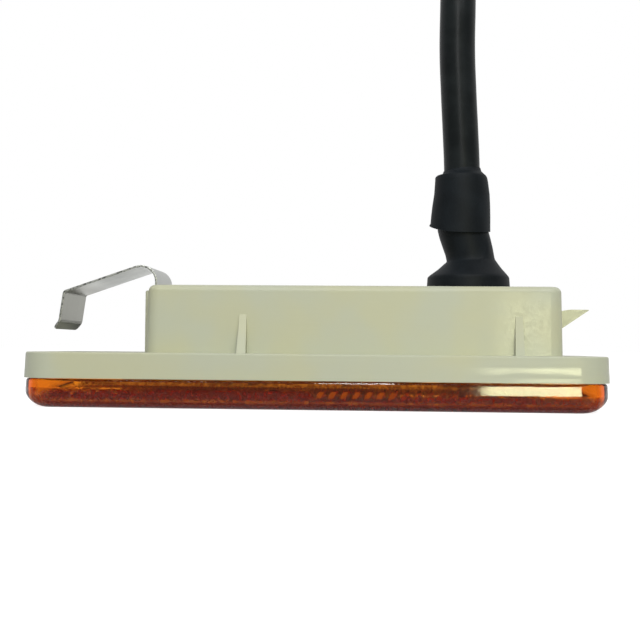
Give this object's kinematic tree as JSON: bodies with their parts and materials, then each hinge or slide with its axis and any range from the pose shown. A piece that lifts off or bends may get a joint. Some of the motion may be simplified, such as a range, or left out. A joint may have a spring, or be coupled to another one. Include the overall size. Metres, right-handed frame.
{
  "type": "side marker lamp with lead",
  "caption": "Flush side marker lamp: moulded housing with spring clip and hook, prismatic amber lens, bulb in a rear holder, rubber boot and sleeved lead to a plug.",
  "frame": {"origin": "on the lens face, below the middle of the lamp without its lead", "axes": "+Z from the lens face to the back, +X from the spring clip to the hook, +Y across the lamp"},
  "size_m": [0.14, 0.1324, 0.1589],
  "materials": {
    "housing": "semi-gloss moulded, pale grey-green",
    "lens": "clear amber, polished",
    "spring_steel": "bright strip with sheared edges",
    "holder": "moulded, black",
    "seal_rubber": "matt, black",
    "contact_brass": "bright",
    "bulb_glass": "clear",
    "filament": "dark wire",
    "lead_wire": "plated wire",
    "boot_rubber": "soft black rubber",
    "shrink_tube": "satin black shrunk tube",
    "wire_black": "smooth black insulation",
    "wire_brown": "smooth brown insulation",
    "sleeve": "satin black sleeve",
    "plug": "moulded, black",
    "plug_lock": "moulded, red",
    "silicone": "soft orange silicone",
    "terminal": "tinned"
  },
  "bodies": {
    "root": {"housing": "housing", "lens": "lens", "spring_clip": "spring_steel", "bulb_holder": "holder", "holder_seal": "seal_rubber", "contact_left": "contact_brass", "contact_right": "contact_brass", "bulb_glass": "bulb_glass", "bulb_filament": "filament", "bulb_lead_left": "lead_wire", "bulb_lead_right": "lead_wire", "boot": "boot_rubber", "collar": "shrink_tube", "lamp_wire_left": "wire_black", "lamp_wire_right": "wire_brown", "conduit": "sleeve", "conduit_end_tube": "shrink_tube", "plug_wire_left": "wire_black", "plug_wire_right": "wire_brown", "plug_housing": "plug", "plug_lock": "plug_lock", "plug_seal": "silicone", "wire_seal_left": "silicone", "wire_seal_right": "silicone", "terminal_left": "terminal", "terminal_right": "terminal"}
  },
  "joints": []
}
